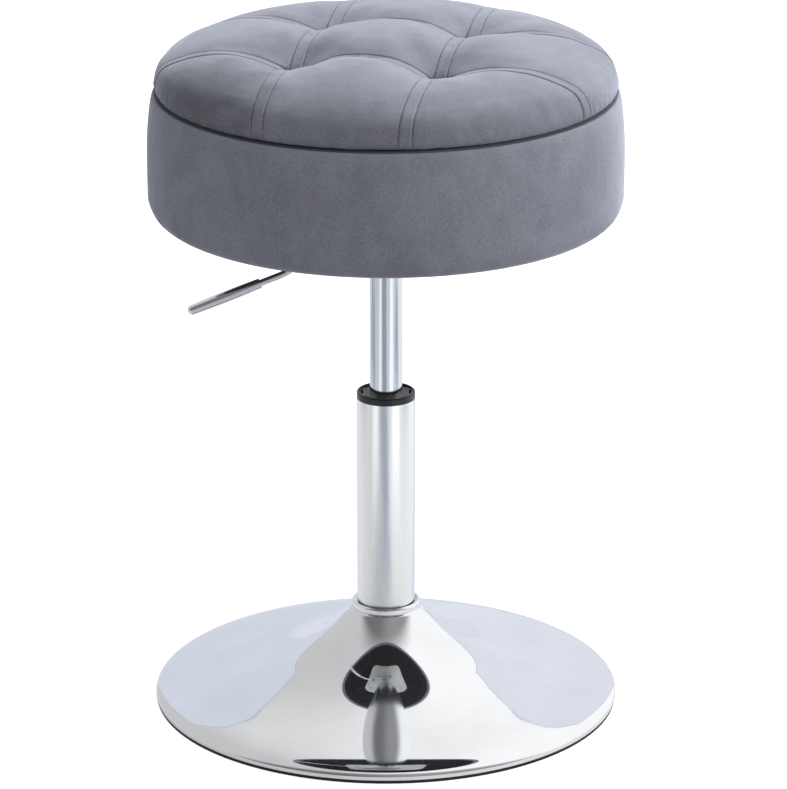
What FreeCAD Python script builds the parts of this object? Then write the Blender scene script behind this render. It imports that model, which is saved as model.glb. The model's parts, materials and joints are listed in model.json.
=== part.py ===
import FreeCAD, Part
import math
import os

# Swivel stool: a tufted lift-off lid on a padded storage drum, a gas lift column and a trumpet base.
# Millimetres, +Z up, origin on the floor under the column. The lever points to -X.

V = FreeCAD.Vector
UP = V(0, 0, 1)

# Clearances
fit_gap = 0.1
running_gap = 0.05
soft_gap = 0.3
stop_gap = 1.0
lid_gap = 0.4

# Trumpet base
base_diameter = 400.0
base_sheet = 1.5
neck_height = 82.0
neck_radius = 32.4
neck_lip_drop = 1.6
neck_lip_width = 1.4
neck_rise = 1.9
neck_reach = 2.5
flare_rate = 3.33
rim_roll = 11.0
rim_power = 6
rim_edge = 2.5
flare_steps = 14
floor_ring_height = 3.0
floor_ring_width = 7.5
floor_ring_inset = 0.5
upstand_height = 2.8
upstand_width = 3.0
upstand_inset = 1.4
base_plate_diameter = 280.0
base_plate_thickness = 4.0
hub_wall = 3.2
collar_height = 5.3
collar_width = 4.5
collar_foot_height = 1.6
collar_groove = 1.3
collar_round = 2.0

# Column
column_diameter = 50.0
column_wall = 1.5
column_top = 271.0
column_foot = 14.0
column_floor = 3.0
column_taper = 1.2
bush_flange = 6.0
bush_depth = 121.0
bush_wall = 3.0
bush_band = 18.0
bush_lip_height = 1.2
bush_lip_width = 2.0
bush_slots = 8
bush_slot_radius = 20.6
bush_slot_width = 1.8
bush_slot_depth = 2.6
bush_slot_angle = 27.0

# Thrust bearing at the foot of the column
race_thickness = 2.0
race_radius = 15.0
ball_radius = 2.0
ball_count = 10
ball_pitch_radius = 10.0
ball_gap = 0.02
cage_thickness = 1.6
cage_width = 6.0

# Gas lift
lift_stroke = 110.0
rod_diameter = 10.0
rod_neck_diameter = 8.0
rod_hole_gap = 0.6
rod_tail_diameter = 7.0
rod_end = 8.0
clip_height = 10.0
clip_thickness = 1.4
clip_radius = 7.0
clip_groove = 0.8
clip_mouth = 5.6
washer_radius = 9.0
bumper_wall = 7.5
cylinder_diameter = 28.0
cylinder_wall = 1.75
cylinder_length = 252.0
cylinder_cap = 6.0
seal_length = 20.0
piston_length = 12.0
nut_flats = 11.0
nut_height = 5.0
valve_length = 40.0
valve_bore_depth = 8.0
pin_diameter = 8.0
pin_rise = 7.0
pin_depth = 15.0
pin_dome = 1.5

# Seat mechanism
socket_height = 30.0
socket_wall = 4.5
socket_taper = 1.5
socket_below = 10.0
housing_height = 36.0
housing_width = 44.0
housing_sheet = 2.5
housing_mouth = 46.0
housing_back = 28.0
housing_edge = 2.0
plate_size = 150.0
plate_corner = 25.0
plate_thickness = 2.5
bolt_spacing = 110.0
bolt_diameter = 6.0
bolt_hole_gap = 0.3
bolt_head_flats = 10.0
bolt_head_height = 4.0
bolt_washer_radius = 7.0
bolt_washer_thickness = 1.2
tee_flange_radius = 9.0
tee_flange_thickness = 1.2
tee_barrel_wall = 1.0
tee_barrel_length = 9.0

# Release lever
lever_pivot_x = 28.0
lever_pin_diameter = 6.0
lever_pin_head = 2.0
lever_pin_head_rim = 1.5
lever_spacer_wall = 1.2
lever_blade_width = 8.0
lever_blade_thickness = 5.0
lever_blade_arm = 22.0
lever_nose = 5.0
lever_pin_gap = 0.3
lever_crank_angle = 40.0
lever_droop_angle = 22.4
lever_knee_x = 84.0
lever_knee_radius = 30.0
lever_tip_x = 168.0
lever_rod_diameter = 6.0
lever_grip_length = 67.0
lever_grip_bore = 60.0
lever_grip_foot_diameter = 9.0
lever_grip_belly_diameter = 10.0
lever_grip_nose_diameter = 8.6
lever_grip_nose_length = 3.4

# Drum
seat_diameter = 400.0
drum_height = 108.0
drum_padding = 7.0
drum_board = 12.0
hoop_thickness = 9.0
cover_thickness = 2.0
cover_turn_in = 25.0
cover_turn_under = 50.0
drum_belly_height = 54.0
drum_edge_rise = 17.0
drum_edge_inset = 0.9
drum_top_inset = 4.6
drum_top_roll = 3.0
lining_thickness = 1.0
dust_thickness = 1.0
dust_overlap = 30.0
dust_step = 4.0

# Lid
lid_inset = 5.0
lid_height = 53.0
lid_draw_in = 2.0
lid_hem = 1.5
lid_side_height = 8.6
crown_inset = 65.0
crown_drop = 8.5
shoulder_inset = 13.0
shoulder_drop = 23.8
lid_board_inset = 7.0
lid_board_thickness = 9.0
lid_turn_under = 15.0
lid_plug_gap = 5.9
lid_plug_thickness = 10.0
lid_foam_thickness = 16.5
lid_foam_inset = 1.5
lid_foam_side = 5.0
tuft_spacing = 128.0
tuft_angle = -12.5
tuft_radius = 50.0
tuft_depth = 18.0
tuft_root_radius = 2.5
channel_half_width = 20.0
channel_depth = 5.0
channel_bend_radius = 850.0
channel_end_inset = 20.0
channel_lip = 0.6
cutter_height = 12.0
tie_radius = 1.2
knot_radius = 5.5
knot_height = 1.8

# Radii and heights that follow from the sizes above
base_radius = base_diameter / 2
column_radius = column_diameter / 2
column_bore = column_radius - column_wall
cylinder_radius = cylinder_diameter / 2
cylinder_bore = cylinder_radius - cylinder_wall
rod_radius = rod_diameter / 2
rod_neck = rod_neck_diameter / 2
rod_tail = rod_tail_diameter / 2
pin_radius = pin_diameter / 2
bolt_radius = bolt_diameter / 2
lever_pin_radius = lever_pin_diameter / 2
lever_rod_radius = lever_rod_diameter / 2
seat_radius = seat_diameter / 2
lid_radius = seat_radius - lid_inset

rim_edge_top = floor_ring_height + rim_edge
flare_top = neck_height - neck_lip_drop
flare_drop = flare_top - neck_rise - rim_edge_top - rim_roll
column_foot_radius = column_radius - (neck_height - column_foot) * math.tan(math.radians(column_taper))
column_floor_top = column_foot + column_floor
hub_radius = column_radius + fit_gap + hub_wall
lower_race_top = column_floor_top + race_thickness
upper_race_low = lower_race_top + 2 * ball_radius
upper_race_top = upper_race_low + race_thickness
bush_top = column_top + bush_flange

socket_low = bush_top + lift_stroke + stop_gap
socket_top = socket_low + socket_height
housing_low = socket_low + socket_below
plate_low = housing_low + housing_height
plate_top = plate_low + plate_thickness
board_low = plate_top + dust_thickness
board_top = board_low + drum_board
drum_low = board_low - cover_thickness
drum_top = drum_low + drum_height
drum_belly = (seat_radius, drum_low + drum_belly_height)
hoop_top = drum_top - cover_thickness
hoop_radius = seat_radius - drum_padding
hoop_bore = hoop_radius - hoop_thickness
cover_bore = hoop_bore - fit_gap - cover_thickness
cover_hem_low = drum_top - cover_turn_in
cover_hem_radius = seat_radius - cover_turn_under

cylinder_top = socket_top - soft_gap
cylinder_low = cylinder_top - cylinder_length
cylinder_roof = cylinder_top - cylinder_cap
piston_low = cylinder_low + seal_length + stop_gap
piston_top = piston_low + piston_length
bumper_top = cylinder_low - lift_stroke - stop_gap
pin_top = cylinder_top + pin_rise
pin_low = cylinder_top - pin_depth
lever_axis_z = pin_top + lever_pin_gap + lever_blade_width / 2

lid_low = drum_top + lid_gap
lid_top = lid_low + lid_height
lid_board_low = lid_low + cover_thickness
lid_board_top = lid_board_low + lid_board_thickness
lid_board_radius = lid_radius - lid_board_inset
lid_foam_top = lid_board_top + lid_foam_thickness
lid_foam_radius = lid_board_radius - lid_foam_inset
lid_hem_radius = lid_radius - lid_draw_in
lid_plug_radius = cover_bore - lid_plug_gap
lid_plug_low = lid_board_low - lid_plug_thickness
crown_span = lid_radius - crown_inset
shoulder_span = lid_radius - shoulder_inset
crown_bend_radius = (crown_span ** 2 + crown_drop ** 2) / (2 * crown_drop)
bolt_places = [(sx * bolt_spacing / 2, sy * bolt_spacing / 2) for sx in (-1, 1) for sy in (-1, 1)]
tuft_places = [(sx * tuft_spacing / 2, sy * tuft_spacing / 2) for sx in (-1, 1) for sy in (-1, 1)]


def section_point(place):
    """Point of the XZ half plane at a radius and a height."""
    return V(place[0], 0, place[1])


def section_arc(start, middle, end):
    """Arc in the XZ plane, kept as a spline of the same shape where its full circle would cross the axis."""
    arc = Part.Arc(section_point(start), section_point(middle), section_point(end)).toShape()
    circle = arc.Curve
    if abs(circle.Center.x) > fit_gap and circle.Center.x < circle.Radius:
        return circle.toBSpline(arc.FirstParameter, arc.LastParameter).toShape()
    return arc


def outline(start, *steps):
    """Closed face in the XZ plane. A step is an end point, or the middle and end points of an arc."""
    edges = []
    here = start
    if steps[-1] != start and steps[-1][-1] != start:
        steps += (start,)
    for step in steps:
        if isinstance(step[0], tuple):
            middle, there = step
            edges.append(section_arc(here, middle, there))
        else:
            there = step
            edges.append(Part.makeLine(section_point(here), section_point(there)))
        here = there
    return Part.Face(Part.Wire(edges))


def tangent_arc(start, heading, end):
    """Arc step from start, leaving along heading in radians, to end, and the heading at its end."""
    across = end[0] - start[0]
    along = end[1] - start[1]
    turn = math.atan2(along, across) - heading
    bulge = math.tan(turn / 2) / 2
    middle = ((start[0] + end[0]) / 2 + bulge * along, (start[1] + end[1]) / 2 - bulge * across)
    return (middle, end), heading + 2 * turn


def level_arc(start, heading, rise):
    """Arc step from start that ends level, further in and higher by rise."""
    end = (start[0] - abs(rise * math.tan(heading / 2)), start[1] + rise)
    return tangent_arc(start, heading, end)[0]


def turned(face):
    return face.revolve(V(0, 0, 0), UP, 360)


def ring(bore, radius, low, high):
    return turned(outline((bore, low), (radius, low), (radius, high), (bore, high)))


def disc(radius, low, high):
    return Part.makeCylinder(radius, high - low, V(0, 0, low))


def copies(shape, places):
    """Group of solids: the shape moved to each place in plan."""
    group = []
    for x, y in places:
        copy = shape.copy()
        copy.translate(V(x, y, 0))
        group.append(copy)
    return Part.Compound(group)


def hexagon(flats, low, high):
    corner = flats / math.sqrt(3)
    turns = [i * math.pi / 3 for i in range(7)]
    corners = [V(corner * math.cos(turn), corner * math.sin(turn), low) for turn in turns]
    return Part.Face(Part.makePolygon(corners)).extrude(V(0, 0, high - low))


def at_tuft_angle(shape):
    shape.rotate(V(0, 0, 0), UP, tuft_angle)
    return shape


def flare_z(radius):
    """Height of the outer face of the trumpet: an exponential horn with a steep neck and a rolled rim."""
    share = (radius - neck_radius) / (base_radius - neck_radius)
    far_end = math.exp(-flare_rate)
    horn = (math.exp(-flare_rate * share) - far_end) / (1 - far_end)
    neck = neck_rise * math.exp((neck_radius - radius) / neck_reach)
    return rim_edge_top + flare_drop * horn + neck + rim_roll * math.sqrt(max(0.0, 1 - share ** rim_power))


def flare_curves():
    """Outer face curve of the trumpet from neck to rim, and the same curve one sheet further in."""
    places = []
    for i in range(flare_steps + 1):
        share = (1 - math.cos(math.pi * i / flare_steps)) / 2
        radius = neck_radius + share * (base_radius - neck_radius)
        places.append(V(radius, 0, flare_z(radius)))
    far_end = math.exp(-flare_rate)
    horn_slope = flare_drop * flare_rate / (1 - far_end) / (base_radius - neck_radius)
    neck_slope = horn_slope + neck_rise / neck_reach
    outer = Part.BSplineCurve()
    outer.interpolate(Points=places, InitialTangent=V(1, 0, -neck_slope), FinalTangent=V(0, 0, -1))
    inner_places = []
    for place in places:
        along = outer.tangent(outer.parameter(place))[0]
        inner_places.append(place + V(along.z, 0, -along.x) * base_sheet)
    inner = Part.BSplineCurve()
    inner.interpolate(Points=inner_places, InitialTangent=V(1, 0, -neck_slope), FinalTangent=V(0, 0, -1))
    return outer, inner


def trumpet_base():
    outer, inner = flare_curves()
    bore = hub_radius + fit_gap
    lip = V(bore + neck_lip_width, 0, neck_height)
    start = outer.StartPoint
    lip_bulge = (start - lip) * 0.5 + V(0, 0, neck_lip_drop * 0.25)
    corners = [
        outer.EndPoint,
        V(base_radius, 0, floor_ring_height),
        V(base_radius - base_sheet, 0, floor_ring_height),
        inner.EndPoint,
    ]
    neck = [inner.StartPoint, V(bore, 0, flare_top), V(bore, 0, neck_height), lip]
    edges = [Part.Arc(lip, lip + lip_bulge, start).toShape(), outer.toShape()]
    edges += [Part.makeLine(a, b) for a, b in zip(corners, corners[1:])]
    edges.append(inner.toShape())
    edges += [Part.makeLine(a, b) for a, b in zip(neck, neck[1:])]
    return turned(Part.Face(Part.Wire(Part.sortEdges(edges)[0])))


def floor_ring():
    radius = base_radius - floor_ring_inset
    bore = radius - floor_ring_width
    upstand = base_radius - base_sheet - upstand_inset
    top = floor_ring_height + upstand_height
    return turned(outline(
        (bore, 0), (radius, 0), (radius, floor_ring_height), (upstand, floor_ring_height),
        (upstand, top), (upstand - upstand_width, top), (upstand - upstand_width, floor_ring_height),
        (bore, floor_ring_height)))


def base_plate_top():
    return flare_z(base_plate_diameter / 2) - base_sheet - soft_gap


def base_plate():
    top = base_plate_top()
    return ring(hub_radius + fit_gap, base_plate_diameter / 2, top - base_plate_thickness, top)


def base_hub():
    low = base_plate_top() - base_plate_thickness
    drawn_in = (neck_height - low) * math.tan(math.radians(column_taper))
    bore = column_radius + fit_gap
    return turned(outline(
        (bore - drawn_in, low), (hub_radius, low), (hub_radius, neck_height), (bore, neck_height)))


def collar_ring():
    bore = column_radius + fit_gap
    radius = bore + collar_width
    groove = bore + collar_groove
    shoulder = (radius, neck_height + collar_height - collar_round)
    crown = level_arc(shoulder, math.pi / 2, collar_round)
    inner_round = crown[1][0] - groove
    inner = tangent_arc(crown[1], math.pi, (groove, crown[1][1] - inner_round))[0]
    foot = neck_height + collar_foot_height
    return turned(outline(
        (bore, neck_height), (radius, neck_height), shoulder, crown, inner, (groove, foot), (bore, foot)))


def column_tube():
    hole = rod_neck + rod_hole_gap
    return turned(outline(
        (hole, column_foot), (column_foot_radius, column_foot), (column_radius, neck_height),
        (column_radius, column_top), (column_bore, column_top), (column_bore, neck_height),
        (column_foot_radius - column_wall, column_floor_top), (hole, column_floor_top)))


def bush_slot():
    """Arc-shaped recess in the top of the bush's flange, centred on the X axis."""
    low = bush_top - bush_lip_height - bush_slot_depth
    inner = bush_slot_radius - bush_slot_width / 2
    outer = bush_slot_radius + bush_slot_width / 2
    section = outline((inner, low), (outer, low), (outer, bush_top), (inner, bush_top))
    section.rotate(V(0, 0, 0), UP, -bush_slot_angle / 2)
    return section.revolve(V(0, 0, 0), UP, bush_slot_angle)


def guide_bush():
    bore = cylinder_radius + running_gap
    sleeve = bore + bush_wall
    body = column_bore - fit_gap
    low = column_top - bush_depth
    dish = bush_top - bush_lip_height
    lip = column_radius - bush_lip_width
    shoulder = (column_radius, dish)
    crown = level_arc(shoulder, math.pi / 2, bush_lip_height)
    bush = turned(outline(
        (bore, low), (body, low), (body, low + bush_band), (sleeve, low + bush_band),
        (sleeve, column_top - bush_band), (body, column_top - bush_band), (body, column_top),
        (column_radius, column_top), shoulder, crown, (lip, bush_top), (lip, dish), (bore, dish)))
    slot = bush_slot()
    slots = []
    for i in range(bush_slots):
        copy = slot.copy()
        copy.rotate(V(0, 0, 0), UP, i * 360 / bush_slots)
        slots.append(copy)
    return bush.cut(slots)


def ball_places():
    turns = [2 * math.pi * i / ball_count for i in range(ball_count)]
    return [(ball_pitch_radius * math.cos(turn), ball_pitch_radius * math.sin(turn)) for turn in turns]


def bearing_balls():
    ball = Part.makeSphere(ball_radius - ball_gap, V(0, 0, lower_race_top + ball_radius))
    return copies(ball, ball_places())


def bearing_cage():
    middle = lower_race_top + ball_radius
    low = middle - cage_thickness / 2
    high = middle + cage_thickness / 2
    plain = ring(ball_pitch_radius - cage_width / 2, ball_pitch_radius + cage_width / 2, low, high)
    return plain.cut(copies(disc(ball_radius + running_gap, low, high), ball_places()))


def end_clip():
    """Horseshoe clip in the groove of the rod."""
    bore = rod_neck - clip_groove + fit_gap
    mouth = Part.makeBox(clip_radius * 2, clip_mouth, clip_thickness, V(0, -clip_mouth / 2, clip_height))
    return ring(bore, clip_radius, clip_height, clip_height + clip_thickness).cut(mouth)


def end_washer():
    return ring(rod_neck + fit_gap, washer_radius, clip_height + clip_thickness, column_foot - soft_gap)


def piston_rod():
    groove = rod_neck - clip_groove
    clip_top = clip_height + clip_thickness
    top = piston_top + nut_height
    return turned(outline(
        (0, rod_end), (rod_neck, rod_end), (rod_neck, clip_height), (groove, clip_height),
        (groove, clip_top), (rod_neck, clip_top), (rod_neck, upper_race_top), (rod_radius, upper_race_top),
        (rod_radius, piston_low), (rod_tail, piston_low), (rod_tail, top), (0, top)))


def piston_nut():
    return hexagon(nut_flats, piston_top, piston_top + nut_height).cut(
        disc(rod_tail + running_gap, piston_top, piston_top + nut_height))


def stop_bumper():
    bore = rod_radius + fit_gap
    radius = bore + bumper_wall
    waist = (radius - bumper_wall / 4, (upper_race_top + bumper_top) / 2)
    return turned(outline(
        (bore, upper_race_top), (radius, upper_race_top), (waist, (radius, bumper_top)), (bore, bumper_top)))


def cone_narrowing(height):
    """How far the cylinder's tapered end has drawn in at a height."""
    return (height - socket_low) * math.tan(math.radians(socket_taper))


def gas_cylinder():
    hole = pin_radius + running_gap
    return turned(outline(
        (cylinder_bore, cylinder_low), (cylinder_radius, cylinder_low), (cylinder_radius, socket_low),
        (cylinder_radius - cone_narrowing(cylinder_top), cylinder_top), (hole, cylinder_top),
        (hole, cylinder_roof), (cylinder_bore - cone_narrowing(cylinder_roof), cylinder_roof),
        (cylinder_bore, socket_low)))


def cylinder_seal():
    """Guide and seal for the rod in the lower end of the cylinder."""
    top = cylinder_low + seal_length
    return ring(rod_radius + running_gap, cylinder_bore - running_gap, cylinder_low, top)


def valve_body():
    bore = pin_radius + running_gap
    radius = cylinder_bore - running_gap
    low = cylinder_roof - valve_length
    floor = pin_low - valve_bore_depth
    return turned(outline(
        (0, low), (radius, low), (radius, socket_low),
        (radius - cone_narrowing(cylinder_roof), cylinder_roof),
        (bore, cylinder_roof), (bore, floor), (0, floor)))


def release_pin():
    dome = tangent_arc((0, pin_top), 0, (pin_radius, pin_top - pin_dome))[0]
    return turned(outline((0, pin_top), dome, (pin_radius, pin_low), (0, pin_low)))


def taper_socket():
    wide = cylinder_radius + fit_gap
    radius = wide + socket_wall
    return turned(outline(
        (wide, socket_low), (radius, socket_low), (radius, socket_top),
        (wide - cone_narrowing(socket_top), socket_top)))


def pivot_rod(radius, start, length):
    """Cylinder along the lever's pivot axis, from a place on it."""
    return Part.makeCylinder(radius, length, V(-lever_pivot_x, start, lever_axis_z), V(0, 1, 0))


def pivot_hole():
    return pivot_rod(lever_pin_radius + running_gap, -housing_width, housing_width * 2)


def lever_housing():
    """Pressed channel, open at the top and towards the lever."""
    length = housing_mouth + housing_back
    corner = V(-housing_mouth, -housing_width / 2, housing_low)
    outside = Part.makeBox(length, housing_width, housing_height, corner)
    low_edges = [edge for edge in outside.Edges if edge.BoundBox.ZMax < housing_low + fit_gap]
    long_edges = [edge for edge in low_edges if edge.BoundBox.XLength > fit_gap]
    room = Part.makeBox(
        length - housing_sheet, housing_width - 2 * housing_sheet, housing_height,
        corner + V(0, housing_sheet, housing_sheet))
    socket_hole = disc(cylinder_radius + 2 * fit_gap + socket_wall, housing_low, plate_low)
    return outside.makeFillet(housing_edge, long_edges).cut([room, socket_hole, pivot_hole()])


def mount_plate():
    corner = V(-plate_size / 2, -plate_size / 2, plate_low)
    plate = Part.makeBox(plate_size, plate_size, plate_thickness, corner)
    corners = [e for e in plate.Edges if e.BoundBox.ZLength > plate_thickness / 2]
    holes = copies(disc(bolt_radius + bolt_hole_gap, plate_low, plate_top), bolt_places)
    return plate.makeFillet(plate_corner, corners).cut(holes)


def plate_bolts():
    seat = plate_low - bolt_washer_thickness
    head = hexagon(bolt_head_flats, seat - bolt_head_height, seat)
    return copies(head.fuse(disc(bolt_radius, seat, board_top - fit_gap)).removeSplitter(), bolt_places)


def plate_washers():
    low = plate_low - bolt_washer_thickness
    return copies(ring(bolt_radius + bolt_hole_gap, bolt_washer_radius, low, plate_low), bolt_places)


def tee_nuts():
    bore = bolt_radius + running_gap
    barrel = bore + tee_barrel_wall
    seat = board_top - tee_flange_thickness
    nut = turned(outline(
        (bore, seat - tee_barrel_length), (barrel, seat - tee_barrel_length), (barrel, seat),
        (tee_flange_radius, seat), (tee_flange_radius, board_top), (bore, board_top)))
    return copies(nut, bolt_places)


def lever_pin():
    half = housing_width / 2
    end = half + lever_pin_head
    head_radius = lever_pin_radius + lever_pin_head_rim
    heads = [pivot_rod(head_radius, start, lever_pin_head) for start in (half, -end)]
    return pivot_rod(lever_pin_radius, -end, 2 * end).fuse(heads).removeSplitter()


def lever_spacers():
    start = lever_blade_thickness / 2 + fit_gap
    length = housing_width / 2 - housing_sheet - fit_gap - start
    radius = lever_pin_radius + running_gap + lever_spacer_wall
    tubes = [pivot_rod(radius, place, length) for place in (start, -start - length)]
    return Part.Compound([tube.cut(pivot_hole()) for tube in tubes])


def lever_place(run, angle):
    """Point at a distance from the lever's pivot, down and away along an angle below the horizon."""
    slope = math.radians(angle)
    return V(-lever_pivot_x - run * math.cos(slope), 0, lever_axis_z - run * math.sin(slope))


def lever_blade():
    """Cranked plate: a nose over the release pin, a boss round the pivot and an arm to the rod."""
    half = lever_blade_width / 2
    thick = lever_blade_thickness
    corner = V(-lever_pivot_x, -thick / 2, lever_axis_z - half)
    nose = Part.makeBox(lever_pivot_x + lever_nose, thick, lever_blade_width, corner)
    arm = Part.makeBox(lever_blade_arm, thick, lever_blade_width, corner)
    arm.rotate(V(-lever_pivot_x, 0, lever_axis_z), V(0, 1, 0), 180 - lever_crank_angle)
    boss = pivot_rod(half, -thick / 2, thick)
    return nose.fuse([arm, boss]).removeSplitter().cut(pivot_hole())


def lever_knee():
    drop = (lever_knee_x - lever_pivot_x) * math.tan(math.radians(lever_crank_angle))
    return V(-lever_knee_x, 0, lever_axis_z - drop)


def lever_outward():
    droop = math.radians(lever_droop_angle)
    return V(-math.cos(droop), 0, -math.sin(droop))


def grip_foot():
    """Inner end of the grip, on the axis of the rod."""
    reach = (lever_tip_x - lever_knee_x) / math.cos(math.radians(lever_droop_angle))
    return lever_knee() + lever_outward() * (reach - lever_grip_length)


def lever_rod():
    start = lever_place(lever_blade_arm, lever_crank_angle)
    knee = lever_knee()
    end = grip_foot() + lever_outward() * (lever_grip_bore - fit_gap)
    inward = (start - knee).normalize()
    outward = lever_outward()
    half_turn = math.radians(lever_crank_angle - lever_droop_angle) / 2
    tangent = lever_knee_radius * math.tan(half_turn)
    bisector = (inward + outward).normalize()
    middle = knee + bisector * (lever_knee_radius / math.cos(half_turn) - lever_knee_radius)
    bend_in = knee + inward * tangent
    bend_out = knee + outward * tangent
    path = Part.Wire([
        Part.makeLine(start, bend_in),
        Part.Arc(bend_in, middle, bend_out).toShape(),
        Part.makeLine(bend_out, end)])
    section = Part.Wire([Part.makeCircle(lever_rod_radius, start, inward)])
    return path.makePipeShell([section], True, False)


def lever_grip():
    bore = lever_rod_radius + fit_gap
    foot = lever_grip_foot_diameter / 2
    nose = lever_grip_nose_diameter / 2
    shoulder = lever_grip_length - lever_grip_nose_length
    belly = (lever_grip_belly_diameter / 2, shoulder / 2)
    tip = tangent_arc((0, lever_grip_length), 0, (nose, shoulder))[0]
    grip = turned(outline(
        (0, lever_grip_length), tip, (belly, (foot, 0)),
        (bore, 0), (bore, lever_grip_bore), (0, lever_grip_bore)))
    grip.Placement = FreeCAD.Placement(grip_foot(), FreeCAD.Rotation(UP, lever_outward()))
    return grip


def drum_lower_side():
    """Outline steps from the drum's widest place down its side and round its bottom edge."""
    foot = (seat_radius - drum_edge_inset, drum_low + drum_edge_rise)
    side, heading = tangent_arc(drum_belly, -math.pi / 2, foot)
    return side, level_arc(foot, heading, -drum_edge_rise)


def drum_edge_z(radius, depth):
    """Height of the drum's round bottom edge at a radius, taken at a depth under its outside."""
    side, edge = drum_lower_side()
    width = side[1][0] - edge[1][0]
    bend = (width ** 2 + drum_edge_rise ** 2) / (2 * drum_edge_rise)
    return drum_low + bend - math.sqrt((bend - depth) ** 2 - (radius - edge[1][0]) ** 2)


def drum_floor():
    """Plywood disc, eased at its foot like the hoop, with recessed holes for the tee nuts."""
    radius = hoop_bore - fit_gap
    bend = min(drum_lower_side()[1][1][0], radius - fit_gap)
    board = turned(outline(
        (0, board_low), (bend, board_low), (radius, drum_edge_z(radius, cover_thickness)),
        (radius, board_top), (0, board_top)))
    nut_hole = disc(bolt_radius + running_gap + tee_barrel_wall + fit_gap, board_low, board_top)
    recess = disc(tee_flange_radius + fit_gap, board_top - tee_flange_thickness, board_top)
    return board.cut([copies(nut_hole, bolt_places), copies(recess, bolt_places)])


def drum_hoop():
    """Plywood hoop with its foot rounded to follow the drum's bottom edge."""
    middle = hoop_radius - hoop_thickness / 2
    foot = [(radius, drum_edge_z(radius, cover_thickness)) for radius in (hoop_bore, middle, hoop_radius)]
    return turned(outline(foot[0], (foot[1], foot[2]), (hoop_radius, hoop_top), (hoop_bore, hoop_top)))


def drum_cover():
    """Padded cloth round the hoop, rolled over its top edge and turned under the floor."""
    lower, edge = drum_lower_side()
    shoulder = (seat_radius - drum_top_inset, drum_top - drum_top_roll)
    upper, heading = tangent_arc(drum_belly, math.pi / 2, shoulder)
    roll = level_arc(shoulder, heading, drum_top_roll)
    lap = hoop_bore - fit_gap
    face = hoop_radius + fit_gap
    under = board_low - fit_gap
    over = hoop_top + fit_gap
    bend = (edge[1][0], under)
    inner_edge = tangent_arc(bend, 0, (face, drum_edge_z(face, cover_thickness - fit_gap)))[0]
    return turned(outline(
        drum_belly, lower, edge, (cover_hem_radius, drum_low), (cover_hem_radius, under), bend, inner_edge,
        (face, over), (lap, over), (lap, cover_hem_low), (cover_bore, cover_hem_low), (cover_bore, drum_top),
        roll[1], (roll[0], shoulder), (upper[0], drum_belly)))


def storage_lining():
    """Cloth cup inside the drum."""
    radius = hoop_bore - fit_gap
    bore = radius - lining_thickness
    top = cover_hem_low - soft_gap
    return turned(outline(
        (0, board_top), (radius, board_top), (radius, top), (bore, top),
        (bore, board_top + lining_thickness), (0, board_top + lining_thickness)))


def dust_cover():
    """Thin cloth under the drum, lapped over the raw edge of the cover."""
    lap = drum_low - fit_gap
    edge = cover_hem_radius + dust_overlap
    step = cover_hem_radius - dust_step
    cloth = turned(outline(
        (0, board_low - dust_thickness), (step, board_low - dust_thickness),
        (cover_hem_radius - fit_gap, lap - dust_thickness), (edge, lap - dust_thickness), (edge, lap),
        (cover_hem_radius - fit_gap, lap), (step + dust_thickness, board_low), (0, board_low)))
    return cloth.cut(copies(disc(bolt_radius + bolt_hole_gap, plate_top, board_low), bolt_places))


def pad_outline(radius, top):
    """Upper outline of the foam, or of the room for it, from its side over a rounded edge to its axis."""
    side = (radius, lid_board_top + lid_foam_side)
    edge = tangent_arc(side, math.pi / 2, (radius - (top - side[1]), top))[0]
    return side, edge, (0, top)


def tuft_holes(radius, low, high):
    return at_tuft_angle(copies(disc(radius, low, high), tuft_places))


def lid_foam():
    pad = turned(outline(
        (0, lid_board_top), (lid_foam_radius, lid_board_top), *pad_outline(lid_foam_radius, lid_foam_top)))
    return pad.cut(tuft_holes(tie_radius + fit_gap, lid_board_top, lid_foam_top))


def lid_board():
    board = disc(lid_board_radius, lid_board_low, lid_board_top)
    holes = tuft_holes(tie_radius + fit_gap, lid_board_low, lid_board_top)
    recesses = tuft_holes(knot_radius + fit_gap, lid_board_low, lid_board_low + knot_height + fit_gap)
    return board.cut([holes, recesses])


def tuft_ties():
    twine = disc(tie_radius, lid_board_low, lid_foam_top)
    knot = disc(knot_radius, lid_board_low, lid_board_low + knot_height)
    return at_tuft_angle(copies(twine.fuse(knot).removeSplitter(), tuft_places))


def tuft_cutter():
    """Funnel round +Z with its mouth at the surface, rounded over at the mouth."""
    root = (tuft_root_radius, -tuft_depth)
    mouth = (tuft_radius, channel_lip)
    shoulder = tangent_arc(mouth, math.pi, root)[0]
    return turned(outline(
        (0, -tuft_depth), root, (shoulder[0], mouth), (tuft_radius, cutter_height), (0, cutter_height)))


def channel_cutter():
    """Valley along X with its root below the origin and both lips rounded over."""
    root = V(0, 0, -channel_depth)
    shoulder, heading = tangent_arc((channel_half_width, channel_lip), math.pi, (0, -channel_depth))
    rise = shoulder[0]
    right = [V(0, channel_half_width, channel_lip), V(0, channel_half_width, cutter_height)]
    left = [V(0, -channel_half_width, cutter_height), V(0, -channel_half_width, channel_lip)]
    edges = [
        Part.Arc(root, V(0, rise[0], rise[1]), right[0]).toShape(),
        Part.makeLine(right[0], right[1]),
        Part.makeLine(right[1], left[0]),
        Part.makeLine(left[0], left[1]),
        Part.Arc(left[1], V(0, -rise[0], rise[1]), root).toShape()]
    section = Part.Face(Part.Wire(edges))
    bend = V(0, 0, -channel_bend_radius)
    half_length = lid_radius - channel_end_inset
    sweep = 2 * math.degrees(math.asin(half_length / channel_bend_radius))
    section.rotate(bend, V(0, 1, 0), -sweep / 2)
    return section.revolve(bend, V(0, 1, 0), sweep)


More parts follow.
